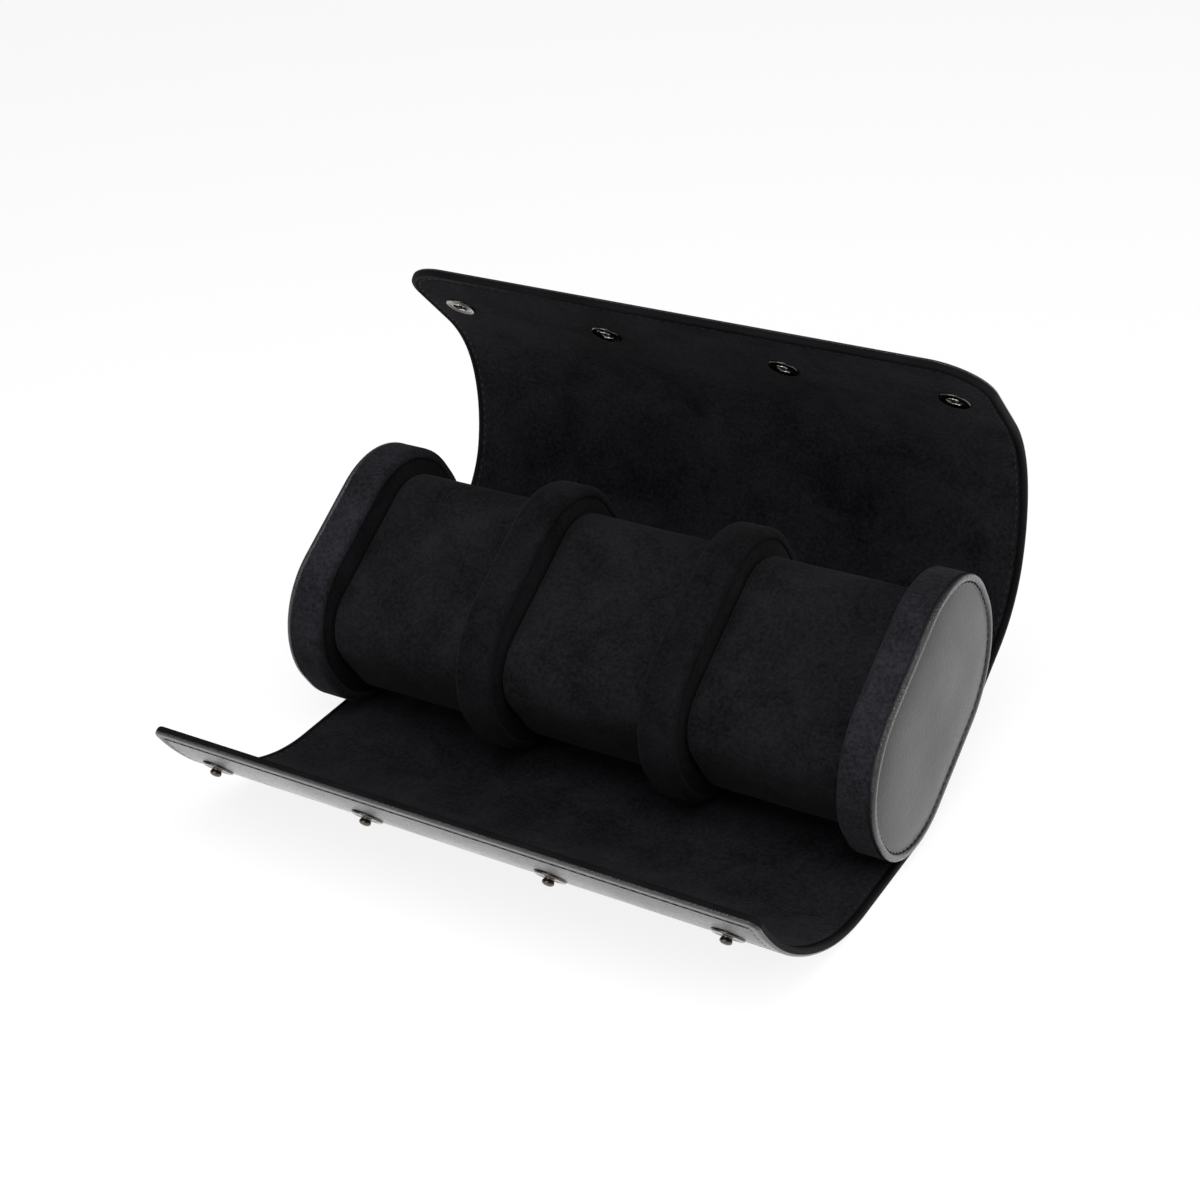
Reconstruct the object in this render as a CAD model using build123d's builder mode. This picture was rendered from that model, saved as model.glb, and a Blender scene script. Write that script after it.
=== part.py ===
from build123d import *
from math import cos, pi, radians, sin, tan
import os

os.makedirs("parts", exist_ok=True)

# A roll-up watch travel case, shown open. Four padded blocks stand side by side on a
# leather wrap and part it into three wells, each with a removable cushion. The wrap is a
# leather sheet with a stiff or soft core and a suede lining. Its back flap rises behind
# the blocks and its front flap lies before them, and each bends at four fold lines.
#
# Frame: X along the row of blocks, +Y to the back, +Z up, millimetres. The origin is on
# the surface the case lies on, in the middle of the flat strip that the spine rests on.
#
# The blocks lean back, so all outlines across the case are drawn in the block section:
# u runs through a block from its open front to its back, and v along its height.

# ---- Blocks and wells ----
LEAN = 58.0                 # lean of the blocks away from upright, degrees
BLOCK_HEIGHT = 94.5         # block section along v
BLOCK_DEPTH = 69.2          # block section along u
BLOCK_END_FLAT = 5.2        # straight stretch in the middle of a block's short sides
BLOCK_THICKNESS = 13.5
WELL_WIDTH = 56.1
WELLS = 3

RIM_SKIN = 1.2              # suede around a block's rim
RIM_LAP = 3.2               # how far the rim suede laps on to a block's faces
RIM_ROUND = 2.2
FACE_SKIN = 1.0
WELT_HEIGHT = 2.0           # piped edge around a leather end panel
WELT_WIDTH = 2.2
WELT_ROUND = 0.9
PANEL_THICKNESS = 1.5
PANEL_BEVEL = 0.5
COVER_FIT = 0.1             # gap between a cover piece and its neighbour

# ---- Cushions ----
CUSHION_HEIGHT = 76.0
CUSHION_DEPTH = 50.0
CUSHION_CORNER = 17.0
CUSHION_DROP = 1.0          # cushion centre below the block centre, along v
CUSHION_SIDE_GAP = 0.3
CUSHION_COVER = 1.0
CUSHION_DRAW = 2.6          # how far the sewn ends are drawn in
CROWN_POWER = 6             # the higher, the closer to its ends a cushion turns in
CROWN_STEPS = 3             # sections from the middle of a cushion to its end
END_PANEL = 1.0
END_PANEL_BEVEL = 0.4

# ---- Wrap ----
LINING = 0.8
CORE = 1.1
LEATHER = 1.0
GLUE = 0.05
WRAP_SETBACK = 1.9          # wrap edge inside the caps' outer faces
HEM = 2.0                   # leather turned over the edge of the lining
FOLD_GAP = 0.3
BLOCK_LIFT = 0.5            # lowest point of the blocks above the lining

# Lengths along the sheet's mid-line, away from the middle of the spine
BACK_RISE = 46.0            # straight, up the backs of the blocks and on
BACK_BEND = 30.0            # each of three bends
BACK_LIP = 42.5             # straight, to the edge
CREASE_LENGTH = 4.6
FLOOR_RUN = 42.0
FRONT_BEND = 28.0           # each of two bends
FRONT_LIP = 32.2            # bent, to the edge

# Turns of those bends, in degrees, all towards the blocks
BACK_TURNS = (44.0, 24.5, 33.0)
FRONT_TURNS = (25.0, 16.0, 20.5)

# Distances of the fold lines from the middle of the spine
BACK_FOLD_1 = 29.5
BACK_FOLD_2 = 50.0
BACK_FOLD_3 = 85.0
BACK_FOLD_4 = 122.0
FRONT_FOLD_1 = 45.5
FRONT_FOLD_2 = 61.0
FRONT_FOLD_3 = 89.0
FRONT_FOLD_4 = 110.5

BACK_FLAP_CORNER = 19.0
FRONT_FLAP_CORNER = 6.5

# ---- Snap fasteners ----
SNAP_OUTER_PITCH = 60.0
SNAP_MIDDLE_PITCH = 67.5
SOCKET_TO_EDGE = 24.94
STUD_TO_EDGE = 20.0
FLANGE_RADIUS = 5.4
FLANGE_HEIGHT = 0.75
SNAP_BEVEL = 0.3            # eased edge of a snap part
SOCKET_BORE_RADIUS = 2.5
SOCKET_BORE_DEPTH = 1.7     # below the lining
BARREL_RADIUS = 3.3
CAP_RADIUS = 6.2
CAP_HEIGHT = 1.1
CAP_EDGE = 0.4              # height of the cap's upright edge
CAP_BROW_RADIUS = 5.0       # where the dome turns over
CAP_BROW_HEIGHT = 0.9
CAP_FLAT_RADIUS = 2.5
POST_RADIUS = 1.6
STUD_RADIUS = 2.0
STUD_NECK_RADIUS = 1.7
STUD_RISE = 2.35            # above its flange
STUD_NECK_RISE = 0.6
STUD_NOSE = 0.6             # taper at the stud's tip
RIVET_RADIUS = 4.5
RIVET_HEIGHT = 0.6
SHANK_RADIUS = 2.4
SNAP_FIT = 0.05
SNAP_SEAT = 0.17            # gap under a flat flange on the curved sheet

# ---- Sizes that follow ----
SHEET = LINING + GLUE + CORE + GLUE + LEATHER
CASE_WIDTH = WELLS * WELL_WIDTH + (WELLS + 1) * BLOCK_THICKNESS
WRAP_HALF = CASE_WIDTH / 2 - WRAP_SETBACK
LEAN_COS = cos(radians(LEAN))
LEAN_SIN = sin(radians(LEAN))
BLOCK_CORNER = (BLOCK_DEPTH - BLOCK_END_FLAT) / 2
CORNER_U = BLOCK_DEPTH / 2 - BLOCK_CORNER
CORNER_V = BLOCK_HEIGHT / 2 - BLOCK_CORNER
CENTRE_RISE = BLOCK_CORNER + BLOCK_LIFT + SHEET + CORNER_U * LEAN_SIN + CORNER_V * LEAN_COS

BACK_FOLDS = (BACK_FOLD_1, BACK_FOLD_2, BACK_FOLD_3, BACK_FOLD_4)
FRONT_FOLDS = (FRONT_FOLD_1, FRONT_FOLD_2, FRONT_FOLD_3, FRONT_FOLD_4)

# The spine runs down the back of the blocks until its line meets the floor run, whose
# mid-line lies half a sheet above the floor. The crease there is a short arc.
CREASE_TURN = 90 - LEAN
CREASE_REACH = CREASE_LENGTH / radians(CREASE_TURN) * tan(radians(CREASE_TURN / 2))
MID_SPINE_U = BLOCK_DEPTH / 2 + SHEET / 2
SPINE_FALL = (CENTRE_RISE - MID_SPINE_U * LEAN_SIN - SHEET / 2) / LEAN_COS
CREASE_START = SPINE_FALL - CREASE_REACH
REST_WIDTH = FRONT_FOLDS[0] - FOLD_GAP / 2 - CREASE_START - CREASE_LENGTH
REST_TO_CORNER = REST_WIDTH / 2 + CREASE_REACH
CENTRE_SETBACK = REST_TO_CORNER + SPINE_FALL * LEAN_SIN - MID_SPINE_U * LEAN_COS

# Courses of the sheet from the middle of the spine, as runs of (length, turn)
BACK_COURSE = (
    (BACK_RISE, 0.0),
    (BACK_BEND, BACK_TURNS[0]),
    (BACK_BEND, BACK_TURNS[1]),
    (BACK_BEND, BACK_TURNS[2]),
    (BACK_LIP, 0.0),
)
FRONT_COURSE = (
    (CREASE_START, 0.0),
    (CREASE_LENGTH, CREASE_TURN),
    (FLOOR_RUN, 0.0),
    (FRONT_BEND, FRONT_TURNS[0]),
    (FRONT_BEND, FRONT_TURNS[1]),
    (FRONT_LIP, FRONT_TURNS[2]),
)
BACK_END = sum(length for length, turn in BACK_COURSE)
FRONT_END = sum(length for length, turn in FRONT_COURSE)


# ---- The block section and the sheet ----

def section(x):
    """The plane of the block section at x: local x is u, local y is v."""
    return Plane(
        origin=(x, CENTRE_SETBACK, CENTRE_RISE),
        x_dir=(0, LEAN_COS, -LEAN_SIN),
        z_dir=(1, 0, 0),
    )


def to_space(x, u, v):
    """A point of the block section at x, in the case's frame."""
    y = CENTRE_SETBACK + u * LEAN_COS + v * LEAN_SIN
    z = CENTRE_RISE - u * LEAN_SIN + v * LEAN_COS
    return Vector(x, y, z)


def sheet_at(station, depth):
    """Point and outward direction in the section, at a signed distance along the sheet.

    Stations are negative on the back flap. depth is measured outwards from the lining.
    """
    side = -1 if station > 0 else 1
    course = FRONT_COURSE if station > 0 else BACK_COURSE
    u = MID_SPINE_U
    v = 0.0
    heading = side * pi / 2
    left = abs(station)
    for length, turn in course:
        run = min(left, length)
        bend = side * radians(turn) / length
        if turn:
            u += (sin(heading + bend * run) - sin(heading)) / bend
            v -= (cos(heading + bend * run) - cos(heading)) / bend
            heading += bend * run
        else:
            u += run * cos(heading)
            v += run * sin(heading)
        left -= run
    out_u = side * sin(heading)
    out_v = -side * cos(heading)
    rise = depth - SHEET / 2
    return (u + out_u * rise, v + out_v * rise), (out_u, out_v)


def breaks():
    """Stations where the sheet's curvature changes."""
    found = []
    for side, course in ((-1, BACK_COURSE), (1, FRONT_COURSE)):
        reached = 0
        for length, turn in course:
            reached += length
            found.append(side * reached)
    return sorted(found)


def sheet_outline(start, stop, inner, outer):
    """Closed outline of one layer of the sheet between two stations."""
    stations = [start] + [s for s in breaks() if start < s < stop] + [stop]
    with BuildLine() as outline:
        for depth in (inner, outer):
            for near, far in zip(stations[:-1], stations[1:]):
                ends = [sheet_at(s, depth)[0] for s in (near, far)]
                middle, out_middle = sheet_at((near + far) / 2, depth)
                straight = Vector(*out_middle).cross(Vector(*sheet_at(near, depth)[1])).length < 1e-6
                if straight:
                    Line(*ends)
                else:
                    ThreePointArc(ends[0], middle, ends[1])
        for station in (start, stop):
            Line(sheet_at(station, inner)[0], sheet_at(station, outer)[0])
    return outline.edges()


def sheet_slab(start, stop, inner, outer, half_width, corner=0.0):
    """A layer of the sheet as a solid, with its free corners rounded."""
    free_end = start if abs(start) > abs(stop) else stop
    with BuildPart() as slab:
        with BuildSketch(section(-half_width)):
            make_face(sheet_outline(start, stop, inner, outer))
        extrude(amount=2 * half_width)
        if corner:
            (u, v), out = sheet_at(free_end, (inner + outer) / 2)
            for x in (-half_width, half_width):
                fillet(slab.edges().sort_by_distance(to_space(x, u, v))[0], corner)
    return slab.part


def sheet_frame(station, depth, outwards):
    """Plane on the sheet, its normal outwards or towards the blocks."""
    (u, v), (out_u, out_v) = sheet_at(station, depth)
    normal = to_space(0, out_u, out_v) - to_space(0, 0, 0)
    return Plane(
        origin=to_space(0, u, v),
        x_dir=(1, 0, 0),
        z_dir=normal if outwards else -normal,
    )


def save(part, name):
    part.label = name
    export_step(part, f"parts/{name}.step")


# ---- Wrap ----

SNAP_XS = (
    -SNAP_MIDDLE_PITCH / 2 - SNAP_OUTER_PITCH,
    -SNAP_MIDDLE_PITCH / 2,
    SNAP_MIDDLE_PITCH / 2,
    SNAP_MIDDLE_PITCH / 2 + SNAP_OUTER_PITCH,
)
SOCKET_STATION = -(BACK_END - SOCKET_TO_EDGE)
STUD_STATION = FRONT_END - STUD_TO_EDGE
CORE_FLOOR = LINING + GLUE
LEATHER_FLOOR = CORE_FLOOR + CORE + GLUE


def punched(piece, station, radius):
    """A sheet layer with a row of snap holes."""
    with BuildPart() as layer:
        add(piece)
        with BuildSketch(sheet_frame(station, SHEET / 2, True)):
            with Locations(*[(x, 0) for x in SNAP_XS]):
                Circle(radius)
        extrude(amount=SHEET, both=True, mode=Mode.SUBTRACT)
    return layer.part


def wrap_piece(name, core_name, start, stop, corner=0.0, snap_station=None, inside_radius=0.0):
    """Leather, core and lining of the stretch of wrap between two stations."""
    hem_start = start + (HEM if corner and start < 0 else 0)
    hem_stop = stop - (HEM if corner and stop > 0 else 0)
    fit_start = hem_start + (COVER_FIT if corner and start < 0 else 0)
    fit_stop = hem_stop - (COVER_FIT if corner and stop > 0 else 0)
    pocket_half = WRAP_HALF - HEM
    pocket_corner = max(corner - HEM, 0)
    pocket = sheet_slab(hem_start, hem_stop, 0, LEATHER_FLOOR, pocket_half, pocket_corner)

    with BuildPart() as leather:
        add(sheet_slab(start, stop, 0, SHEET, WRAP_HALF, corner))
        add(pocket, mode=Mode.SUBTRACT)
    fit_half = pocket_half - COVER_FIT
    fit_corner = max(pocket_corner - COVER_FIT, 0)
    core = sheet_slab(fit_start, fit_stop, CORE_FLOOR, CORE_FLOOR + CORE, fit_half, fit_corner)
    lining = sheet_slab(fit_start, fit_stop, 0, LINING, fit_half, fit_corner)

    layers = {"leather": leather.part, core_name: core, "lining": lining}
    for layer, piece in layers.items():
        if snap_station is not None:
            radius = POST_RADIUS if layer == "leather" else inside_radius
            piece = punched(piece, snap_station, radius + SNAP_FIT)
        save(piece, f"{name}_{layer}")


def fold_pairs(folds, end):
    """Inner and outer ends of a flap's pieces, each short of its fold by half the gap."""
    half = FOLD_GAP / 2
    nears = [fold + half for fold in folds]
    fars = [fold - half for fold in folds[1:]] + [end]
    return list(zip(nears, fars))


wrap_piece("spine", "board", -BACK_FOLDS[0] + FOLD_GAP / 2, FRONT_FOLDS[0] - FOLD_GAP / 2)

for index, (near, far) in enumerate(fold_pairs(BACK_FOLDS, BACK_END), 1):
    last = index == len(BACK_FOLDS)
    wrap_piece(
        f"back_flap_{index}", "foam", -far, -near,
        corner=BACK_FLAP_CORNER if last else 0.0,
        snap_station=SOCKET_STATION if last else None,
        inside_radius=BARREL_RADIUS,
    )

for index, (near, far) in enumerate(fold_pairs(FRONT_FOLDS, FRONT_END), 1):
    last = index == len(FRONT_FOLDS)
    wrap_piece(
        f"front_flap_{index}", "board", near, far,
        corner=FRONT_FLAP_CORNER if last else 0.0,
        snap_station=STUD_STATION if last else None,
        inside_radius=SHANK_RADIUS,
    )


# ---- Snap fasteners ----

def turned(points):
    """Solid of revolution about local Z from (radius, height) points."""
    with BuildPart() as solid:
        with BuildSketch(Plane.XZ):
            with BuildLine():
                Polyline(*points, close=True)
            make_face()
        revolve(axis=Axis.Z)
    return solid.part


def snap_row(solid, frame, name):
    """Four copies of a snap part in a row along the flap."""
    with BuildPart() as row:
        with Locations(*[frame.location * Location((x, 0, 0)) for x in SNAP_XS]):
            add(solid)
    save(row.part, name)


BARREL_DEPTH = CORE_FLOOR + CORE
POST_LENGTH = SHEET - BARREL_DEPTH - GLUE
STUD_TOP = FLANGE_HEIGHT + STUD_RISE
RIVET_TOP = -SNAP_SEAT - RIVET_HEIGHT

# Socket: a flange on the lining with a barrel let into the core
socket = turned([
    (SOCKET_BORE_RADIUS, -SOCKET_BORE_DEPTH),
    (SOCKET_BORE_RADIUS, FLANGE_HEIGHT),
    (FLANGE_RADIUS - SNAP_BEVEL, FLANGE_HEIGHT),
    (FLANGE_RADIUS, FLANGE_HEIGHT - SNAP_BEVEL),
    (FLANGE_RADIUS, 0),
    (BARREL_RADIUS, 0),
    (BARREL_RADIUS, -BARREL_DEPTH),
    (0, -BARREL_DEPTH),
    (0, -SOCKET_BORE_DEPTH),
])
snap_row(socket, sheet_frame(SOCKET_STATION, 0, False), "snap_sockets")

# Cap: a low dome on the leather whose post meets the socket's barrel
cap = turned([
    (0, POST_LENGTH),
    (POST_RADIUS, POST_LENGTH),
    (POST_RADIUS, 0),
    (CAP_RADIUS, 0),
    (CAP_RADIUS, -CAP_EDGE),
    (CAP_BROW_RADIUS, -CAP_BROW_HEIGHT),
    (CAP_FLAT_RADIUS, -CAP_HEIGHT),
    (0, -CAP_HEIGHT),
])
snap_row(cap, sheet_frame(SOCKET_STATION, SHEET, False), "snap_caps")

# Stud: a flange on the leather with a waisted head that enters the socket
stud = turned([
    (0, -LEATHER),
    (POST_RADIUS, -LEATHER),
    (POST_RADIUS, 0),
    (FLANGE_RADIUS, 0),
    (FLANGE_RADIUS, FLANGE_HEIGHT - SNAP_BEVEL),
    (FLANGE_RADIUS - SNAP_BEVEL, FLANGE_HEIGHT),
    (STUD_NECK_RADIUS, FLANGE_HEIGHT),
    (STUD_NECK_RADIUS, FLANGE_HEIGHT + STUD_NECK_RISE),
    (STUD_RADIUS, FLANGE_HEIGHT + STUD_NECK_RISE + SNAP_BEVEL),
    (STUD_RADIUS, STUD_TOP - STUD_NOSE),
    (STUD_RADIUS - STUD_NOSE, STUD_TOP),
    (0, STUD_TOP),
])
snap_row(stud, sheet_frame(STUD_STATION, SHEET, True), "snap_studs")

# Rivet: a plate inside the front flap, with a shank that holds the stud's post
rivet = turned([
    (0, RIVET_TOP),
    (RIVET_RADIUS - SNAP_BEVEL, RIVET_TOP),
    (RIVET_RADIUS, RIVET_TOP + SNAP_BEVEL),
    (RIVET_RADIUS, -SNAP_SEAT),
    (SHANK_RADIUS, -SNAP_SEAT),
    (SHANK_RADIUS, BARREL_DEPTH),
    (0, BARREL_DEPTH),
])
snap_row(rivet, sheet_frame(STUD_STATION, 0, True), "snap_rivets")


# ---- Blocks ----

def block_slab(x, thickness, inset, edge_round=0.0, round_near=True, round_far=True, ease=fillet):
    """A plate of the block's outline, drawn in by inset, from x along +X."""
    with BuildPart() as slab:
        with BuildSketch(section(x)):
            RectangleRounded(
                BLOCK_DEPTH - 2 * inset, BLOCK_HEIGHT - 2 * inset, BLOCK_CORNER - inset
            )
        extrude(amount=thickness)
        if edge_round:
            ends = slab.faces().sort_by(Axis.X)
            if round_near:
                ease(ends[0].edges(), edge_round)
            if round_far:
                ease(slab.faces().sort_by(Axis.X)[-1].edges(), edge_round)
    return slab.part


def divider(name, x):
    """A block between two wells, from x to x + BLOCK_THICKNESS."""
    core_width = BLOCK_THICKNESS - 2 * FACE_SKIN
    face_xs = (x, x + BLOCK_THICKNESS - FACE_SKIN)
    with BuildPart() as rim:
        add(block_slab(x, BLOCK_THICKNESS, 0, RIM_ROUND))
        add(block_slab(x + FACE_SKIN, core_width, RIM_SKIN), mode=Mode.SUBTRACT)
        for face_x in face_xs:
            add(block_slab(face_x, FACE_SKIN, RIM_LAP), mode=Mode.SUBTRACT)
    save(rim.part, f"{name}_rim")
    save(block_slab(x + FACE_SKIN, core_width, RIM_SKIN), f"{name}_core")
    with BuildPart() as faces:
        for face_x in face_xs:
            add(block_slab(face_x, FACE_SKIN, RIM_LAP + COVER_FIT))
    save(faces.part, f"{name}_faces")


def end_cap(name, outer_x, side):
    """The block at an end: suede rim and inner face, welted leather panel outside."""
    body = BLOCK_THICKNESS - WELT_HEIGHT
    inner_x = outer_x - side * BLOCK_THICKNESS

    def along(start, thickness):
        """Lower x of a layer that starts so far from the inner face."""
        return inner_x + start if side > 0 else inner_x - start - thickness

    inner_round = {"round_near": side > 0, "round_far": side < 0}
    outer_round = {"round_near": side < 0, "round_far": side > 0}
    core = block_slab(along(FACE_SKIN, body - FACE_SKIN), body - FACE_SKIN, RIM_SKIN)
    with BuildPart() as rim:
        add(block_slab(along(0, body), body, 0, RIM_ROUND, **inner_round))
        add(core, mode=Mode.SUBTRACT)
        add(block_slab(along(0, FACE_SKIN), FACE_SKIN, RIM_LAP), mode=Mode.SUBTRACT)
    save(rim.part, f"{name}_rim")
    save(core, f"{name}_core")
    save(block_slab(along(0, FACE_SKIN), FACE_SKIN, RIM_LAP + COVER_FIT), f"{name}_face")
    with BuildPart() as welt:
        add(block_slab(along(body, WELT_HEIGHT), WELT_HEIGHT, 0, WELT_ROUND, **outer_round))
        add(block_slab(along(body, WELT_HEIGHT), WELT_HEIGHT, WELT_WIDTH), mode=Mode.SUBTRACT)
    save(welt.part, f"{name}_welt")
    panel_inset = WELT_WIDTH + COVER_FIT
    panel = block_slab(
        along(body, PANEL_THICKNESS), PANEL_THICKNESS, panel_inset, PANEL_BEVEL,
        ease=chamfer, **outer_round
    )
    save(panel, f"{name}_panel")


end_cap("left_cap", -CASE_WIDTH / 2, -1)
end_cap("right_cap", CASE_WIDTH / 2, 1)
WELL_PITCH = WELL_WIDTH + BLOCK_THICKNESS
for index in range(1, WELLS):
    divider(f"divider_{index}", -CASE_WIDTH / 2 + index * WELL_PITCH)


# ---- Cushions ----

def cushion_outline(x, inset):
    """The cushion's section at x, drawn in by inset."""
    with BuildSketch(section(x)) as sketch:
        with Locations((0, -CUSHION_DROP)):
            RectangleRounded(
                CUSHION_DEPTH - 2 * inset,
                CUSHION_HEIGHT - 2 * inset,
                CUSHION_CORNER - inset,
            )
    return sketch.sketch


def cushion_body(middle_x, half_width, skin):
    """The crowned cushion form, drawn in by skin, between its two ends."""
    with BuildPart() as body:
        for step in range(-CROWN_STEPS, CROWN_STEPS + 1):
            reach = sin(pi / 2 * step / CROWN_STEPS)
            add(cushion_outline(
                middle_x + half_width * reach, skin + CUSHION_DRAW * reach ** CROWN_POWER
            ))
        loft(ruled=True)
    return body.part


def cushion_end(x, outward):
    """A sewn end panel, from x along +X, its outer edge eased."""
    with BuildPart() as panel:
        extrude(cushion_outline(x, CUSHION_DRAW), amount=END_PANEL, dir=(1, 0, 0))
        chamfer(panel.faces().sort_by(Axis.X)[-1 if outward > 0 else 0].edges(), END_PANEL_BEVEL)
    return panel.part


def cushion(name, middle_x):
    """A removable cushion: foam core, suede band around it and two end panels."""
    half_body = WELL_WIDTH / 2 - CUSHION_SIDE_GAP - END_PANEL
    inner = cushion_body(middle_x, half_body, CUSHION_COVER)
    with BuildPart() as band:
        add(cushion_body(middle_x, half_body, 0))
        add(inner, mode=Mode.SUBTRACT)
    save(band.part, f"{name}_band")
    save(inner, f"{name}_core")
    with BuildPart() as ends:
        add(cushion_end(middle_x - half_body - END_PANEL, -1))
        add(cushion_end(middle_x + half_body, 1))
    save(ends.part, f"{name}_ends")


for index in range(WELLS):
    middle = (index - (WELLS - 1) / 2) * WELL_PITCH
    cushion(f"cushion_{index + 1}", middle)
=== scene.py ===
from collections import namedtuple
from math import atan2, ceil, cos, exp, pi, radians, sin, tan

import bmesh
import bpy
from mathutils import Matrix, Quaternion, Vector, noise


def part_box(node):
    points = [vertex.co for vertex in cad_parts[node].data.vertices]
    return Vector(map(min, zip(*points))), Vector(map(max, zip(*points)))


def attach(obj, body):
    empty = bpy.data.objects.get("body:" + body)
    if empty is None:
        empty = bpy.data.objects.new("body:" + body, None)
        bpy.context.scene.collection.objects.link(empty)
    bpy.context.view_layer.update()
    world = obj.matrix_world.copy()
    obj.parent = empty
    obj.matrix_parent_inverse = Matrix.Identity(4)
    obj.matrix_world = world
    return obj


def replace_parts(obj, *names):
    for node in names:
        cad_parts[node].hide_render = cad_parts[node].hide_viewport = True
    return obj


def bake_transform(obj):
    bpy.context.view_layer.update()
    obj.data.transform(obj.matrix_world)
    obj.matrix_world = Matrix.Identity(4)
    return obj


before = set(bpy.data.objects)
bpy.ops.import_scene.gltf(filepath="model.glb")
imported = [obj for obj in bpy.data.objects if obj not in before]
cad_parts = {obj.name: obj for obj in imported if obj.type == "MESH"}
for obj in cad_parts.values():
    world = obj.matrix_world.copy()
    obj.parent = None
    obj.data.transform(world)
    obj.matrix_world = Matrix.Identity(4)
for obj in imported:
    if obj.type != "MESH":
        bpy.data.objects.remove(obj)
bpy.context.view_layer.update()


# ---- Wrap leather ----
# The outside of the case is one black, fine-grained leather sheet. It is cut flat, its edge is
# turned in over the lining, and it is bent round the blocks. Here too it is cut flat first, with
# x across, y along the sheet towards the front flap and z outwards from the lining, then bent.

LEAN = radians(58)           # of the blocks, backwards
SHEET = 0.003                # leather, stiffener and lining together
HEM = 0.002                  # width of the turned edge
HEM_DEPTH = 0.002            # the turned edge reaches this deep round lining and stiffener
SHEET_EDGE_ROUND = 0.0009
BLOCK_DEPTH = 0.0692
BLOCK_HEIGHT = 0.0945
BLOCK_CORNER = 0.032
BACK_CORNER = 0.019          # rounded corners of the flaps
FRONT_CORNER = 0.0036
CREASE_LENGTH = 0.0046       # the sheet creases where it comes down on the table
BACK_FOLDS = (0.0295, 0.050, 0.085, 0.122)
FRONT_FOLDS = (0.0455, 0.061, 0.089, 0.1105)
FOLD_REACH = 0.003           # a fold bends over this length to each side of its line
RING_STEP = 0.0012           # the sheet bends between rings of edges this far apart
STITCH_TO_EDGE = 0.0032
GROOVE_WIDTH = 0.0016        # the seam pulls the leather in
GROOVE_DEPTH = 0.00022
LEVEL = 1e-6                 # what lies closer than this to a height lies at it
UPRIGHT = 0.1                # walls are upright up to this share of z in their normal
CUT_SLACK = 1e-7             # what lies closer than this to a cut lies on it

rim_low, rim_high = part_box("divider_1_rim")
block_centre = (rim_low + rim_high) / 2
wrap_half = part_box("spine_leather")[1].x

mid_spine = BLOCK_DEPTH / 2 + SHEET / 2
crease_turn = pi / 2 - LEAN
spine_fall = (block_centre.z - mid_spine * sin(LEAN) - SHEET / 2) / cos(LEAN)
crease_start = spine_fall - CREASE_LENGTH / crease_turn * tan(crease_turn / 2)

# Runs of the sheet's mid-line, away from the middle of the spine: length and turn
BACK_COURSE = (
    (0.046, 0), (0.030, radians(44)), (0.030, radians(24.5)), (0.030, radians(33)), (0.0425, 0),
)
FRONT_COURSE = (
    (crease_start, 0), (CREASE_LENGTH, crease_turn), (0.042, 0),
    (0.028, radians(25)), (0.028, radians(16)), (0.0322, radians(20.5)),
)
back_end = sum(length for length, turn in BACK_COURSE)
front_end = sum(length for length, turn in FRONT_COURSE)


def in_section(x, u, v):
    """A point of the blocks' leaning section: u from front to back, v along the height."""
    y = block_centre.y + u * cos(LEAN) + v * sin(LEAN)
    z = block_centre.z - u * sin(LEAN) + v * cos(LEAN)
    return Vector((x, y, z))


def on_sheet(x, station, depth):
    """Where a point of the flat sheet goes when the sheet is bent."""
    side = 1 if station > 0 else -1
    u, v, heading, left = mid_spine, 0.0, -side * pi / 2, abs(station)
    for length, turn in FRONT_COURSE if side > 0 else BACK_COURSE:
        run = min(left, length)
        if turn:
            bend = -side * turn / length
            u += (sin(heading + bend * run) - sin(heading)) / bend
            v -= (cos(heading + bend * run) - cos(heading)) / bend
            heading += bend * run
        else:
            u += run * cos(heading)
            v += run * sin(heading)
        left -= run
    rise = depth - SHEET / 2
    return in_section(x, u - side * sin(heading) * rise, v + side * cos(heading) * rise)


def outline(half_width, back, front, back_corner, front_corner, height, steps=24):
    """A flat sheet's outline with its corners rounded, as one face in a new bmesh."""
    bm = bmesh.new()
    spots = ((-half_width, -back), (half_width, -back), (half_width, front), (-half_width, front))
    corners = [bm.verts.new((x, y, height)) for x, y in spots]
    bm.faces.new(corners)
    for pair, radius in ((corners[:2], back_corner), (corners[2:], front_corner)):
        bmesh.ops.bevel(
            bm, geom=pair, offset=radius, affect="VERTICES", segments=steps, profile=0.5,
            material=-1,
        )
    return bm


def wrap_outline(inset, height):
    """The outline of the whole flat wrap, drawn in by inset."""
    return outline(
        wrap_half - inset, back_end - inset, front_end - inset,
        BACK_CORNER - inset, FRONT_CORNER - inset, height,
    )


def thicken(bm, height):
    """Raises a bmesh's faces by height into a closed slab."""
    lifted = bmesh.ops.extrude_face_region(bm, geom=bm.faces[:], use_keep_orig=True)["geom"]
    moved = [v for v in lifted if isinstance(v, bmesh.types.BMVert)]
    bmesh.ops.translate(bm, vec=(0, 0, height), verts=moved)
    bmesh.ops.recalc_face_normals(bm, faces=bm.faces)


def lies_at(part, height):
    """Whether a face or an edge lies flat at that height."""
    return all(abs(v.co.z - height) < LEVEL for v in part.verts)


def flat_face(bm, height):
    """The largest face that lies flat at that height."""
    return max((f for f in bm.faces if lies_at(f, height)), key=lambda f: f.calc_area())


def brims(bm, height):
    """Edges at that height where a flat face meets an upright wall."""
    return [
        e for e in bm.edges
        if lies_at(e, height) and any(abs(f.normal.z) < UPRIGHT for f in e.link_faces)
    ]


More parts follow.
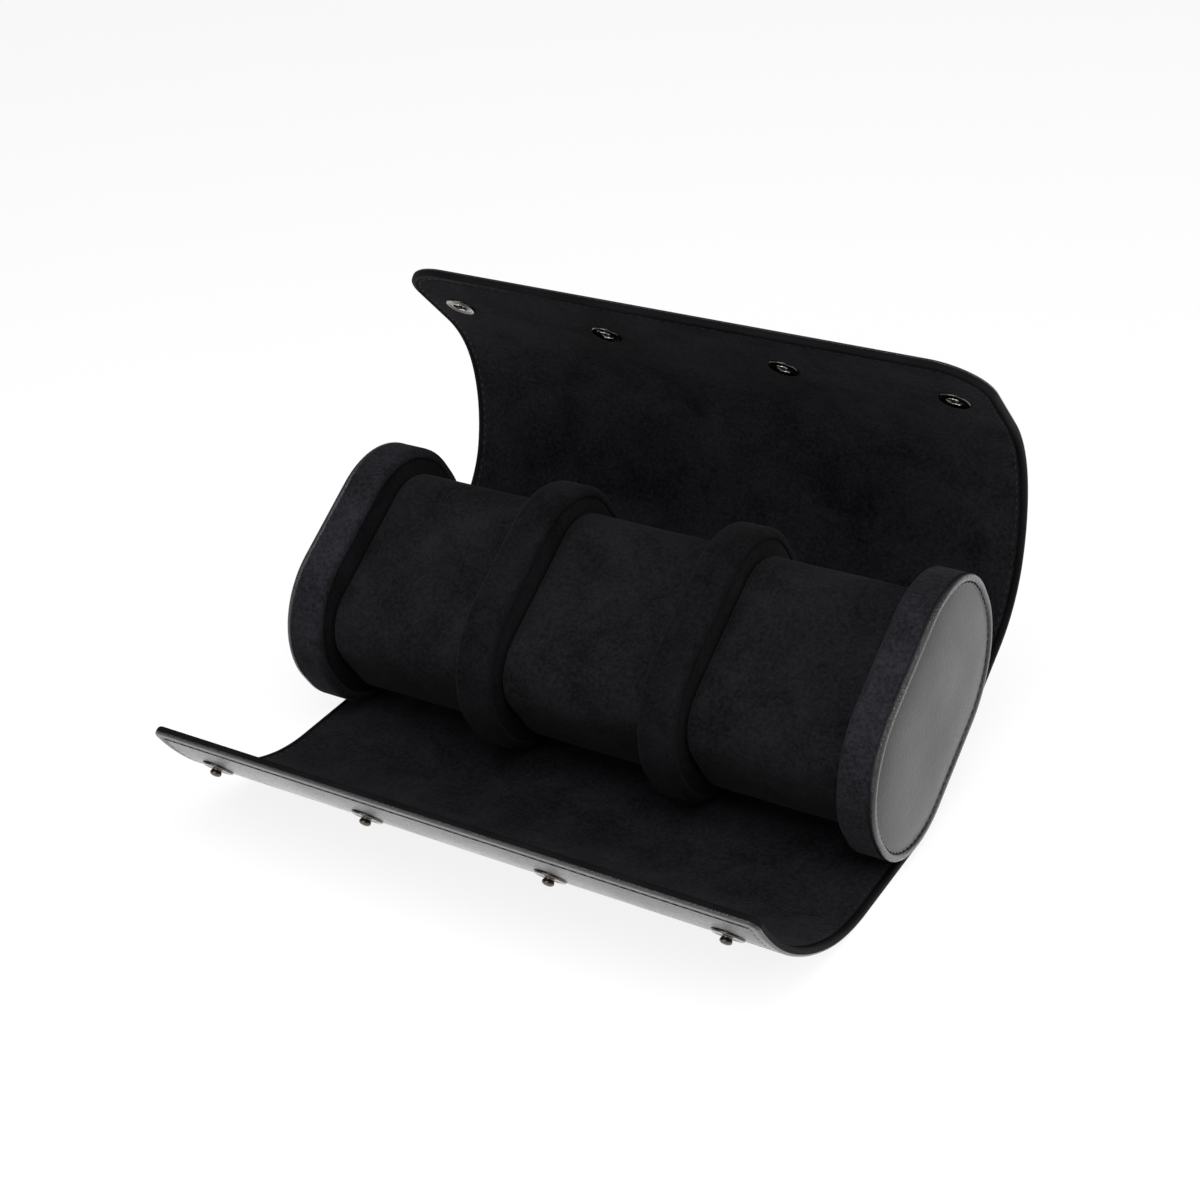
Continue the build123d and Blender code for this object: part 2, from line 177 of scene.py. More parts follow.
def sink(bm, face, inset, depth):
    """Insets a face and moves what is inside by depth along z."""
    bmesh.ops.inset_region(bm, faces=[face], thickness=inset, use_even_offset=True)
    bottom = bmesh.ops.extrude_discrete_faces(bm, faces=[face])["faces"][0]
    bmesh.ops.translate(bm, vec=(0, 0, depth), verts=bottom.verts)


def ease(bm, edges, radius, steps=3):
    """Rounds edges over."""
    bmesh.ops.bevel(
        bm, geom=edges, offset=radius, affect="EDGES", segments=steps, profile=0.5, material=-1,
    )


def press(bm, height, inset, width, depth):
    """Presses a soft groove into the flat face at that height, along its outline."""
    face = flat_face(bm, height)
    for step, drop in ((inset, 0), (width / 2, depth), (width / 2, -depth)):
        bmesh.ops.inset_region(bm, faces=[face], thickness=step, use_even_offset=True)
        bmesh.ops.translate(bm, vec=(0, 0, drop), verts=face.verts)


def slice_at(bm, point, normal, clear=False):
    """Cuts a mesh at a plane and can clear away what lies beyond it."""
    bmesh.ops.bisect_plane(
        bm, geom=bm.verts[:] + bm.edges[:] + bm.faces[:], dist=CUT_SLACK,
        plane_co=point, plane_no=normal, clear_outer=clear,
    )


def cut_rings(bm, axis, places):
    """Adds rings of edges across a mesh, at places along an axis."""
    normal = Vector((0, 0, 0))
    normal[axis] = 1
    for place in places:
        slice_at(bm, normal * place, normal)


def spread(low, high, step):
    """Even places between two ends, not on them."""
    count = ceil((high - low) / step)
    return [low + (high - low) * i / count for i in range(1, count)]


def to_mesh(name, bm):
    """Turns a bmesh into a mesh and frees it."""
    mesh = bpy.data.meshes.new(name)
    bm.to_mesh(mesh)
    bm.free()
    return mesh


def to_scene(name, data):
    """Stands an object with that mesh, lamp or camera in the scene."""
    thing = bpy.data.objects.new(name, data)
    bpy.context.scene.collection.objects.link(thing)
    return thing


def make_piece(name, bm, material, second=None):
    """Turns a bmesh into a smooth-shaded object of one or two materials."""
    for face in bm.faces:
        face.smooth = True
    mesh = to_mesh(name, bm)
    mesh.materials.append(material)
    if second:
        mesh.materials.append(second)
    piece = to_scene(name, mesh)
    return piece


# Each strip of the wrap runs from the middle of one rigid piece to the middle of the next, and
# bends at the fold between them. The last strip of a flap runs to the flap's end, with no far cut.
Strip = namedtuple("Strip", "name near far fold body_a body_b")
STRIPS = []
for flap, folds, sign in (("back", BACK_FOLDS, -1), ("front", FRONT_FOLDS, 1)):
    cuts = [0] + [sign * (near + far) / 2 for near, far in zip(folds[:-1], folds[1:])] + [None]
    flap_bodies = ["case"] + [f"{flap}_flap_{i}" for i in range(1, 5)]
    for i, fold in enumerate(folds):
        STRIPS.append(Strip(
            f"{flap}_{i + 1}", cuts[i], cuts[i + 1], sign * fold, flap_bodies[i],
            flap_bodies[i + 1],
        ))


def wrap_strips(whole, kind, material, second=None):
    """Cuts a flat layer into the strips and bends them."""
    made = []
    for strip in STRIPS:
        bm = whole.copy()
        sign = 1 if strip.fold > 0 else -1
        for cut, side in ((strip.near, -sign), (strip.far, sign)):
            if cut is None:
                continue
            slice_at(bm, (0, cut, 0), (0, side, 0), clear=True)
            rim = [e for e in bm.edges if e.is_boundary]
            for edge in rim:
                edge.smooth = False
            bmesh.ops.holes_fill(bm, edges=rim, sides=0)
        for vert in bm.verts:
            vert.co = on_sheet(*vert.co)
        piece = make_piece(f"{kind}_{strip.name}", bm, material, second)
        start = on_sheet(0, strip.fold - sign * FOLD_REACH, SHEET / 2)
        end = on_sheet(0, strip.fold + sign * FOLD_REACH, SHEET / 2)
        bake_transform(piece)
        made.append(piece)
    whole.free()
    return made


def srgb(code):
    """A hex colour in linear light."""
    parts = [int(code[i:i + 2], 16) / 255 for i in (1, 3, 5)]
    return [c / 12.92 if c <= 0.04045 else ((c + 0.055) / 1.055) ** 2.4 for c in parts] + [1]


def add_node(tree, kind, inputs=None, **settings):
    """Adds a node, sets it and links its inputs, and returns it."""
    node = tree.nodes.new(kind)
    for name, value in settings.items():
        setattr(node, name, value)
    for name, value in (inputs or {}).items():
        if isinstance(value, bpy.types.NodeSocket):
            tree.links.new(value, node.inputs[name])
        else:
            node.inputs[name].default_value = value
    return node


def new_material(name):
    """An empty material with its tree, shader and object coordinates."""
    material = bpy.data.materials.new(name)
    material.use_nodes = True
    tree = material.node_tree
    tree.nodes.clear()
    shader = add_node(tree, "ShaderNodeBsdfPrincipled")
    end = add_node(tree, "ShaderNodeOutputMaterial")
    tree.links.new(shader.outputs[0], end.inputs["Surface"])
    place = add_node(tree, "ShaderNodeTexCoord").outputs["Object"]
    return material, tree, shader, place


def mottled(tree, factor, dark, light, low, high):
    """Two colours blended by a pattern between its low and high values."""
    spread_out = add_node(tree, "ShaderNodeMapRange", {
        "Value": factor, "From Min": low, "From Max": high,
    })
    return add_node(tree, "ShaderNodeMix", {
        "Factor": spread_out.outputs["Result"], "A": srgb(dark), "B": srgb(light),
    }, data_type="RGBA")


GRAIN = 0.0010               # a grain pebble, about twice the real width, so that it shows
GRAIN_CREASE = 0.25          # share of a pebble that slopes into the crease round it
FINE_GRAIN = 0.00038462      # pores on the pebbles, also drawn coarser than real
GRAIN_STRENGTH = 0.65
GRAIN_DEPTH = 0.00011
LEATHER_PATCH = 0.02222      # size of a patch that took more of the finish
CALM = (0.3, 0.7)            # most of a noise pattern lies between these


def finished_leather(name, dark, light, roughness, grain_depth=GRAIN_DEPTH, shine=0.5):
    """Corrected-grain leather: an even pebble under a thin, half-glossy coat."""
    material, tree, shader, place = new_material(name)
    patches = add_node(tree, "ShaderNodeTexNoise", {
        "Vector": place, "Scale": 1 / LEATHER_PATCH, "Detail": 3,
    })
    pebble = add_node(tree, "ShaderNodeTexVoronoi", {
        "Vector": place, "Scale": 1 / GRAIN, "Randomness": 0.9,
    }, feature="DISTANCE_TO_EDGE")
    creases = add_node(tree, "ShaderNodeMapRange", {
        "Value": pebble.outputs["Distance"], "From Min": 0, "From Max": GRAIN_CREASE,
    })
    fine = add_node(tree, "ShaderNodeTexNoise", {
        "Vector": place, "Scale": 1 / FINE_GRAIN, "Detail": 2,
    })
    relief = add_node(tree, "ShaderNodeMath", {
        0: creases.outputs["Result"], 1: fine.outputs["Fac"],
    }, operation="ADD")
    bump = add_node(tree, "ShaderNodeBump", {
        "Height": relief.outputs[0], "Strength": GRAIN_STRENGTH, "Distance": grain_depth,
    })
    colour = mottled(tree, patches.outputs["Fac"], dark, light, *CALM)
    gloss = add_node(tree, "ShaderNodeMapRange", {
        "Value": patches.outputs["Fac"], "From Min": CALM[0], "From Max": CALM[1],
        "To Min": roughness - 0.04, "To Max": roughness + 0.05,
    })
    shader.inputs["Specular IOR Level"].default_value = shine
    tree.links.new(colour.outputs["Result"], shader.inputs["Base Color"])
    tree.links.new(gloss.outputs["Result"], shader.inputs["Roughness"])
    tree.links.new(bump.outputs["Normal"], shader.inputs["Normal"])
    return material


# Dyed black, with a printed grain under a thin coat: a broad gloss that turns pale grey where it
# faces the white table, and breaks up on the pebbles.
wrap_leather = finished_leather("fine_grain_leather", "#0d0d0f", "#151517", 0.30)
# The same leather on the turned-in hem and edge, painted darker and without gloss: painted shade
# where the rounded edge reflects the dark room above, so the edge is a plain dark line.
painted_shade_edge = finished_leather("rubbed_edge_leather", "#09090a", "#121214", 0.7, shine=0.04)

leather = wrap_outline(0, 0)
thicken(leather, SHEET)
ease(leather, brims(leather, 0) + brims(leather, SHEET), SHEET_EDGE_ROUND)
groove_inset = STITCH_TO_EDGE - SHEET_EDGE_ROUND - GROOVE_WIDTH / 2
press(leather, SHEET, groove_inset, GROOVE_WIDTH, -GROOVE_DEPTH)
sink(leather, flat_face(leather, 0), HEM - SHEET_EDGE_ROUND, HEM_DEPTH)
# The hem and the rounded edge below the outer bevel take the second, painted-shade leather.
for face in leather.faces:
    face.material_index = int(face.calc_center_median().z < SHEET - SHEET_EDGE_ROUND)
cut_rings(leather, 1, spread(-back_end, front_end, RING_STEP))
leather_strips = wrap_strips(leather, "wrap_leather", wrap_leather, painted_shade_edge)
WRAP_PIECES = ["spine"] + [f"{flap}_flap_{i}" for flap in ("back", "front") for i in range(1, 5)]
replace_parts(leather_strips[0], *[f"{piece}_leather" for piece in WRAP_PIECES])


# ---- Wrap lining ----
# Inside the leather lies one sheet of black microsuede, glued down and caught under the turned
# edge. Its short nap lies over here and there and takes the light in soft patches.

LINING = 0.0008
LINING_FIT = 0.0001          # between the lining's edge and the hem
LINING_EDGE_ROUND = 0.0003
SNAP_PITCHES = (-0.09375, -0.03375, 0.03375, 0.09375)
SOCKET_TO_EDGE = 0.02494
SOCKET_STATION = SOCKET_TO_EDGE - back_end
BARREL_RADIUS = 0.0033       # the snap sockets pass through the lining
DRILL_LENGTH = 0.01
SHARP_TURN = 1               # edges that turn by more radians than this are shaded sharp
NAP_PATCH = 0.020            # where the nap lies over
NAP_CLUMP = 0.0013           # a clump of nap, coarser than real, since single fibres don't show
CLUMP_SHARE = 0.6
NAP_DEPTH = 0.0003


def microsuede(name, dark, light):
    """Woven microfibre with a raised nap: no gloss, and blotches where the nap lies over."""
    material, tree, shader, place = new_material(name)
    patches = add_node(tree, "ShaderNodeTexNoise", {
        "Vector": place, "Scale": 1 / NAP_PATCH, "Detail": 4, "Roughness": 0.6, "Distortion": 0.5,
    })
    clumps = add_node(tree, "ShaderNodeTexNoise", {
        "Vector": place, "Scale": 1 / NAP_CLUMP, "Detail": 4, "Roughness": 0.75,
    })
    both = add_node(tree, "ShaderNodeMix", {
        "Factor": CLUMP_SHARE, "A": patches.outputs["Fac"], "B": clumps.outputs["Fac"],
    })
    colour = mottled(tree, both.outputs["Result"], dark, light, 0.38, 0.62)
    bump = add_node(tree, "ShaderNodeBump", {
        "Height": clumps.outputs["Fac"], "Strength": 0.8, "Distance": NAP_DEPTH,
    })
    shader.inputs["Roughness"].default_value = 0.95
    shader.inputs["Specular IOR Level"].default_value = 0.02
    shader.inputs["Sheen Weight"].default_value = 0.02
    shader.inputs["Sheen Roughness"].default_value = 0.5
    tree.links.new(colour.outputs["Result"], shader.inputs["Base Color"])
    tree.links.new(bump.outputs["Normal"], shader.inputs["Normal"])
    return material


def modified_mesh(thing):
    """A new mesh of an object with its modifiers applied."""
    depsgraph = bpy.context.evaluated_depsgraph_get()
    return bpy.data.meshes.new_from_object(thing.evaluated_get(depsgraph))


def punched(bm, spots, radius):
    """Cuts round holes through a flat layer."""
    drill = bmesh.new()
    for x, y in spots:
        bmesh.ops.create_cone(
            drill, segments=32, radius1=radius, radius2=radius, depth=DRILL_LENGTH, cap_ends=True,
            matrix=Matrix.Translation((x, y, 0)),
        )
    layer = to_scene("layer", to_mesh("layer", bm))
    drills = to_scene("drills", to_mesh("drills", drill))
    layer.modifiers.new("holes", "BOOLEAN").object = drills
    result = bmesh.new()
    result.from_mesh(modified_mesh(layer))
    bpy.data.objects.remove(layer)
    bpy.data.objects.remove(drills)
    for edge in result.edges:
        edge.smooth = edge.calc_face_angle(0) < SHARP_TURN
    return result


# It swallows nearly all light: close to black, with faint grey clouds and no highlight.
black_suede = microsuede("black_microsuede", "#0a0a0c", "#1f1f23")

inset = HEM + LINING_FIT
lining = wrap_outline(inset, 0)
thicken(lining, LINING)
ease(lining, brims(lining, 0), LINING_EDGE_ROUND, steps=2)
groove_inset = STITCH_TO_EDGE - inset - LINING_EDGE_ROUND - GROOVE_WIDTH / 2
press(lining, 0, groove_inset, GROOVE_WIDTH, GROOVE_DEPTH)
lining = punched(lining, [(x, SOCKET_STATION) for x in SNAP_PITCHES], BARREL_RADIUS)
cut_rings(lining, 1, spread(-back_end, front_end, RING_STEP))
lining_strips = wrap_strips(lining, "wrap_lining", black_suede)
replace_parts(lining_strips[0], *[f"{piece}_lining" for piece in WRAP_PIECES])


# ---- Wrap stitching ----
# One line of black thread runs all round the wrap, a few millimetres from its edge. It holds the
# turned leather on the lining and shows as short, tight stitches on both sides.

STITCH_PITCH = 0.0034
STITCH_SIZE = (0.0025, 0.0006, 0.0005)
NAP_SINK = 0.00015           # the thread sinks this deep into the lining's nap
THREAD_PATCH = 0.0025        # over which a thread's or a board's gloss varies


def walk(points, pitch):
    """Evenly spaced places along a closed line of points, each with its heading."""
    legs = list(zip(points, points[1:] + points[:1]))
    total = sum((b - a).length for a, b in legs)
    step = total / round(total / pitch)
    passed, due = 0.0, step / 2
    for a, b in legs:
        run = (b - a).length
        while due < passed + run:
            yield a.lerp(b, (due - passed) / run), atan2(b.y - a.y, b.x - a.x)
            due += step
        passed += run


def stitch_line(line, size=STITCH_SIZE, pitch=STITCH_PITCH):
    """Stitches along the outline of a bmesh's only face, which is used up."""
    line.faces.ensure_lookup_table()
    points = [v.co.copy() for v in line.faces[0].verts]
    line.free()
    stitches = bmesh.new()
    half_size = Matrix.Diagonal((size[0] / 2, size[1] / 2, size[2] / 2, 1))
    for spot, heading in walk(points, pitch):
        place = Matrix.Translation(spot) @ Matrix.Rotation(heading, 4, "Z") @ half_size
        bmesh.ops.create_uvsphere(stitches, u_segments=8, v_segments=5, radius=1, matrix=place)
    return stitches


def plain_finish(name, colour, roughness, metallic=0.0, uneven=0.05, patch=THREAD_PATCH):
    """A smooth finish whose gloss varies a little."""
    material, tree, shader, place = new_material(name)
    patches = add_node(tree, "ShaderNodeTexNoise", {
        "Vector": place, "Scale": 1 / patch, "Detail": 2,
    })
    gloss = add_node(tree, "ShaderNodeMapRange", {
        "Value": patches.outputs["Fac"], "From Min": CALM[0], "From Max": CALM[1],
        "To Min": roughness - uneven, "To Max": roughness + uneven,
    })
    shader.inputs["Base Color"].default_value = srgb(colour)
    shader.inputs["Metallic"].default_value = metallic
    tree.links.new(gloss.outputs["Result"], shader.inputs["Roughness"])
    return material


# Outside, the black thread is painted a lighter grey, a painted highlight, and its waxed gloss adds
# a small highlight on each stitch, which picks out the seam.
black_thread = plain_finish("waxed_thread", "#1f1f23", 0.32)
# Inside, the same thread is painted darker and dull: painted shade, so it hardly shows on the nap.
shaded_thread = plain_finish("shaded_thread", "#0b0b0c", 0.75)

for side_name, height, thread in (
    ("outer", SHEET - GROOVE_DEPTH, black_thread), ("inner", GROOVE_DEPTH + NAP_SINK, shaded_thread),
):
    stitches = stitch_line(wrap_outline(STITCH_TO_EDGE, height))
    wrap_strips(stitches, f"wrap_stitches_{side_name}", thread)


# ---- Blocks ----
# Two end caps and two dividers, each a firm padded core in black microsuede. A strip covers the rim
# and laps on to both faces, and a faintly puffed panel is sewn into each face. They are drawn with
# x from front to back, y along their height and z along the row, and then leant back.

BLOCK_THICKNESS = rim_high.x - rim_low.x
RIM_ROUND = 0.0024
CAP_EDGE_ROUND = 0.0006      # the rim's edge beside the leather piping
RIM_LAP = 0.0034
LIP_ROUND = 0.0004           # where the strip's lap ends at the seam
FACE_DEPTH = 0.0009          # the seam lies this deep below the rim
PANEL_FIT = 0.0001           # a face panel reaches this far under the lap
PANEL_SHEET = 0.0003
PANEL_SINK = 0.0002          # the panels' edges start this far above their seats
PANEL_RISE = 0.0007
FACE_PUFF_REACH = 0.0020
COVER_GRID = 0.003           # the covers stray between rings of edges this far apart
RIM_GRID = 0.002
LOOSENESS = 0.00012          # how far the cover strays from its true form
WAVE = 0.014
NOISE_STEP = (7.3, 3.1, 0)   # from one seed's place in the noise to the next
SEEDS_PER_METRE = 100        # a block's place in the row is its seed


def place_block(bm, x, side=1):
    """Leans a drawn block back at its place in the row, mirrored where side is -1."""
    lean = Matrix((
        (0, 0, side, x),
        (cos(LEAN), sin(LEAN), 0, block_centre.y),
        (-sin(LEAN), cos(LEAN), 0, block_centre.z),
        (0, 0, 0, 1),
    ))
    bm.transform(lean)
    if side < 0:
        bmesh.ops.reverse_faces(bm, faces=bm.faces)


def block_outline(inset, height, steps=18):
    """The blocks' outline, drawn in by inset."""
    u, v, corner = BLOCK_DEPTH / 2 - inset, BLOCK_HEIGHT / 2 - inset, BLOCK_CORNER - inset
    return outline(u, v, v, corner, corner, height, steps)


def block_plate(inset, low, high, steps=18):
    """A plate of the blocks' outline, drawn in by inset, between two heights."""
    bm = block_outline(inset, low, steps)
    thicken(bm, high - low)
    return bm


def block_piece(name, bm, x, side, material):
    """Leans a drawn piece of a block into place and fixes it to the case."""
    place_block(bm, x, side)
    piece = make_piece(name, bm, material)
    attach(piece, "case")
    return piece


def loosen(bm, amount, wave, seed):
    """Lets a cover stray from its true form in gentle waves."""
    bm.normal_update()
    shift = Vector([seed * step for step in NOISE_STEP])
    strays = [v.normal * noise.noise(v.co / wave + shift) * amount for v in bm.verts]
    for vert, stray in zip(bm.verts, strays):
        vert.co += stray


def grid_up(bm, depth, height, corner, middle):
    """Cuts the straight stretches of a rounded outline into a grid, so that its cover can stray."""
    for axis, reach, centre in ((0, depth / 2 - corner, 0), (1, height / 2 - corner, middle)):
        ends = [centre - reach, centre + reach]
        cut_rings(bm, axis, ends + spread(*ends, COVER_GRID))


def puff(bm, height, rise, reach, rings=8):
    """Puffs up the flat face at that height by rise, most of it within reach of its edge."""
    face = flat_face(bm, height)
    inset, risen = 0.0, 0.0
    for ring in range(1, rings + 1):
        next_inset = 3 * reach * (ring / rings) ** 1.5
        next_rise = rise * (1 - exp(-next_inset / reach))
        bmesh.ops.inset_region(bm, faces=[face], thickness=next_inset - inset, use_even_offset=True)
        bmesh.ops.translate(bm, vec=(0, 0, next_rise - risen), verts=face.verts)
        inset, risen = next_inset, next_rise


def block_rim(name, x, thickness, side, seats, suede):
    """The strip round a block, with a seat for a face panel at each of the seats' heights."""
    bm = block_plate(0, 0, thickness)
    for height in (0, thickness):
        radius = RIM_ROUND if height in seats else CAP_EDGE_ROUND
        ease(bm, brims(bm, height), radius, steps=6)
    for height in seats:
        depth = FACE_DEPTH if height == 0 else -FACE_DEPTH
        sink(bm, flat_face(bm, height), RIM_LAP - RIM_ROUND, depth)
        ease(bm, brims(bm, height), LIP_ROUND, steps=2)
    grid_up(bm, BLOCK_DEPTH, BLOCK_HEIGHT, BLOCK_CORNER, 0)
    cut_rings(bm, 2, spread(RIM_ROUND, thickness - RIM_ROUND, RIM_GRID))
    loosen(bm, LOOSENESS, WAVE, x * SEEDS_PER_METRE)
    piece = block_piece(name, bm, x, side, suede)
    return piece


def face_panel(name, x, side):
    """A puffed face panel. Its drawn side faces away from the block, towards -z."""
    seat = FACE_DEPTH - PANEL_SINK
    bm = block_plate(RIM_LAP - PANEL_FIT, seat, seat + PANEL_SHEET)
    puff(bm, seat, -PANEL_RISE, FACE_PUFF_REACH)
    grid_up(bm, BLOCK_DEPTH, BLOCK_HEIGHT, BLOCK_CORNER, 0)
    loosen(bm, LOOSENESS, WAVE, x * SEEDS_PER_METRE + side)
    piece = block_piece(name, bm, x, side, shaded_block_suede)
    return piece


# A darker copy of the lining's suede for the dividers and the inner panels: painted shade.
shaded_block_suede = microsuede("block_microsuede", "#09090a", "#18181b")

for divider in ("divider_1", "divider_2"):
    low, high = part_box(f"{divider}_rim")
    seats = (0, BLOCK_THICKNESS)
    rim = block_rim(f"{divider}_cover", low.x, BLOCK_THICKNESS, 1, seats, shaded_block_suede)
    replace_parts(rim, f"{divider}_rim")
    panels = [
        face_panel(f"{divider}_{end}_panel", x, side)
        for end, x, side in (("left", low.x, 1), ("right", high.x, -1))
    ]
    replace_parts(panels[0], f"{divider}_faces")


# ---- End caps ----
# Each end of the row is a block with the same suede rim and inner panel. Its outside is black
# leather: a panel, sewn down close to its edge, inside a ring of leather piped over a cord.

CAP_STEPS = 24               # in each rounded corner of the piping, the panel and its seam
WELT_WIDTH = 0.0026
WELT_ROUND = 0.001
WELT_FLOOR = 0.0003          # thickness of the piping's leather under the panel
PANEL_FLOOR = 0.0002         # the panel starts this far above the rim
PANEL_GAP = 0.0001           # between piping and panel
PANEL_EDGE = 0.0007
PANEL_DROP = 0.0007          # panel's edge below the top of the piping
PANEL_PUFF = 0.0014
PANEL_PUFF_REACH = 0.0060
SEAM_STITCH = (0.0022, 0.0007, 0.0006)
SEAM_PITCH = 0.003
SEAM_SINK = 0.0002

# A smoother, more matte cut than the wrap's: it mirrors the white table as one even mid grey.
panel_leather = finished_leather(
    "smooth_panel_leather", "#1c1b1e", "#242326", 0.38, grain_depth=0.00008, shine=0.24,
)
# Stretched over its cord, the piping's coat is glossier and gives a broken bright line.
welt_leather = finished_leather(
    "piping_leather", "#1a1a1c", "#222224", 0.28, grain_depth=0.00012, shine=0.38,
)
# A lighter copy of the suede for the caps' rims: painted sheen where the caps catch more light, so
# they look a little greyer.
lit_cap_suede = microsuede("cap_microsuede", "#111113", "#28282d")

for cap, side in (("left_cap", -1), ("right_cap", 1)):
    low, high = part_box(f"{cap}_rim")
    welt_low, welt_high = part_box(f"{cap}_welt")
    inner_x = low.x if side > 0 else high.x
    rim_depth = high.x - low.x
    cap_depth = rim_depth + welt_high.x - welt_low.x
    rim = block_rim(f"{cap}_cover", inner_x, rim_depth, side, (0,), lit_cap_suede)
    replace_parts(rim, f"{cap}_rim")
    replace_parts(face_panel(f"{cap}_inner_panel", inner_x, side), f"{cap}_face")

    ring = block_plate(0, rim_depth, cap_depth, CAP_STEPS)
    sink(ring, flat_face(ring, cap_depth), WELT_WIDTH, rim_depth + WELT_FLOOR - cap_depth)
    ease(ring, brims(ring, cap_depth), WELT_ROUND, steps=5)
    piping = block_piece(f"{cap}_piping", ring, inner_x, side, welt_leather)
    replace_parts(piping, f"{cap}_welt")

    panel_top = cap_depth - PANEL_DROP
    inset = WELT_WIDTH + PANEL_GAP
    cut = block_plate(inset, rim_depth + PANEL_FLOOR, panel_top, CAP_STEPS)
    ease(cut, brims(cut, panel_top), PANEL_EDGE, steps=4)
    puff(cut, panel_top, PANEL_PUFF, PANEL_PUFF_REACH)
    panel = block_piece(f"{cap}_outer_panel", cut, inner_x, side, panel_leather)
    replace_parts(panel, f"{cap}_panel")

    seam_line = block_outline(inset + PANEL_EDGE / 2, panel_top - SEAM_SINK, CAP_STEPS)
    seam = stitch_line(seam_line, SEAM_STITCH, SEAM_PITCH)
    block_piece(f"{cap}_stitches", seam, inner_x, side, black_thread)


# ---- Cushions ----
# Three soft cushions in the same suede, a band and two sewn end panels round a foam core. The
# cover is drawn a little slim, and a short cloth simulation fills it like a pillow.

CUSHION_DEPTH = 0.050
CUSHION_HEIGHT = 0.076
CUSHION_CORNER = 0.017
CUSHION_DROP = 0.001         # their middle lies this far below the blocks'
CUSHION_ROUND = 0.0032       # where the band turns in to the end panels
FILL_ROOM = 0.0004           # the empty cover is this much slimmer all round
FILL_END_ROOM = 0.0001
FILL_MOST = 0.0009           # filling moves no point of the cover further out
FILL_PRESSURE = 4.0
FILL_FRAMES = 20
CUSHION_LOOSENESS = 0.0002
CUSHION_WAVE = 0.016

# The softest of the suedes: nearly black, with clouds where hands have pressed the nap.
cushion_suede = microsuede("cushion_microsuede", "#0b0b0c", "#1d1d20")


def cushion_plate(inset, low, high):
    """A plate of the cushions' outline, drawn in by inset, between two heights."""
    u, v, corner = CUSHION_DEPTH / 2 - inset, CUSHION_HEIGHT / 2 - inset, CUSHION_CORNER - inset
    bm = outline(u, v + CUSHION_DROP, v - CUSHION_DROP, corner, corner, low, steps=10)
    thicken(bm, high - low)
    return bm


def filled(bm):
    """Fills a closed cover like a pillow."""
    sewn = to_mesh("filling", bm)
    homes = [(v.co.copy(), v.normal.copy()) for v in sewn.vertices]
    cover = to_scene("filling", sewn)
    scene = bpy.context.scene
    cloth = cover.modifiers.new("cloth", "CLOTH")
    cloth.settings.effector_weights.gravity = 0
    cloth.settings.use_pressure = True
    cloth.settings.uniform_pressure_force = FILL_PRESSURE
    cloth.settings.quality = 6
    for frame_number in range(1, FILL_FRAMES + 1):
        scene.frame_set(frame_number)
    sewn = modified_mesh(cover)
    scene.frame_set(1)
    for vert, (home, normal) in zip(sewn.vertices, homes):
        vert.co = home + normal * max(0, min(FILL_MOST, (vert.co - home).dot(normal)))
    bpy.data.objects.remove(cover)
    result = bmesh.new()
    result.from_mesh(sewn)
    return result


low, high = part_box("cushion_1_ends")
half = (high.x - low.x) / 2
drawn_half = half - FILL_END_ROOM
pillow = cushion_plate(FILL_ROOM, -drawn_half, drawn_half)
ease(pillow, brims(pillow, -drawn_half) + brims(pillow, drawn_half), CUSHION_ROUND, steps=4)
grid_up(pillow, CUSHION_DEPTH, CUSHION_HEIGHT, CUSHION_CORNER, -CUSHION_DROP)
cut_rings(pillow, 2, spread(CUSHION_ROUND - half, half - CUSHION_ROUND, COVER_GRID))
pillow = filled(pillow)

for number in (1, 2, 3):
    low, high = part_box(f"cushion_{number}_ends")
    cover = pillow.copy()
    loosen(cover, CUSHION_LOOSENESS, CUSHION_WAVE, number)
    for vert in cover.verts:
        vert.co.z = max(-half, min(half, vert.co.z))
    place_block(cover, (low.x + high.x) / 2)
    body = make_piece(f"cushion_{number}_cover", cover, cushion_suede)
    smooth = body.modifiers.new("smooth", "SUBSURF")
    smooth.levels = smooth.render_levels = 1
    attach(body, f"cushion_{number}")
    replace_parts(body, f"cushion_{number}_band", f"cushion_{number}_ends")


# ---- Snap fasteners ----
# Nickel-plated ring snaps. On the back flap a socket with two spring wires shows inside and a domed
# cap outside. On the front flap a stud shows outside and a flat rivet plate inside.

STUD_TO_EDGE = 0.020
STUD_STATION = front_end - STUD_TO_EDGE
SPRING_GAP = 0.00205         # from a spring wire to the socket's middle
SPRING_HEIGHT = 0.00045
SPRING_RADIUS = 0.00022
SPRING_LENGTH = 0.003
POLISH_PATCH = 0.0011111     # over which the plating's polish varies

# Polished nickel plate: a bright, slightly warm mirror.
nickel = plain_finish(
    "bright_nickel", "#c9c5bd", 0.16, metallic=1.0, uneven=0.04, patch=POLISH_PATCH,
)
# Black nickel plate: a dark mirror that is light only where it faces the table or a lamp.
dark_nickel = plain_finish(
    "dark_nickel", "#4a4643", 0.22, metallic=1.0, patch=POLISH_PATCH,
)

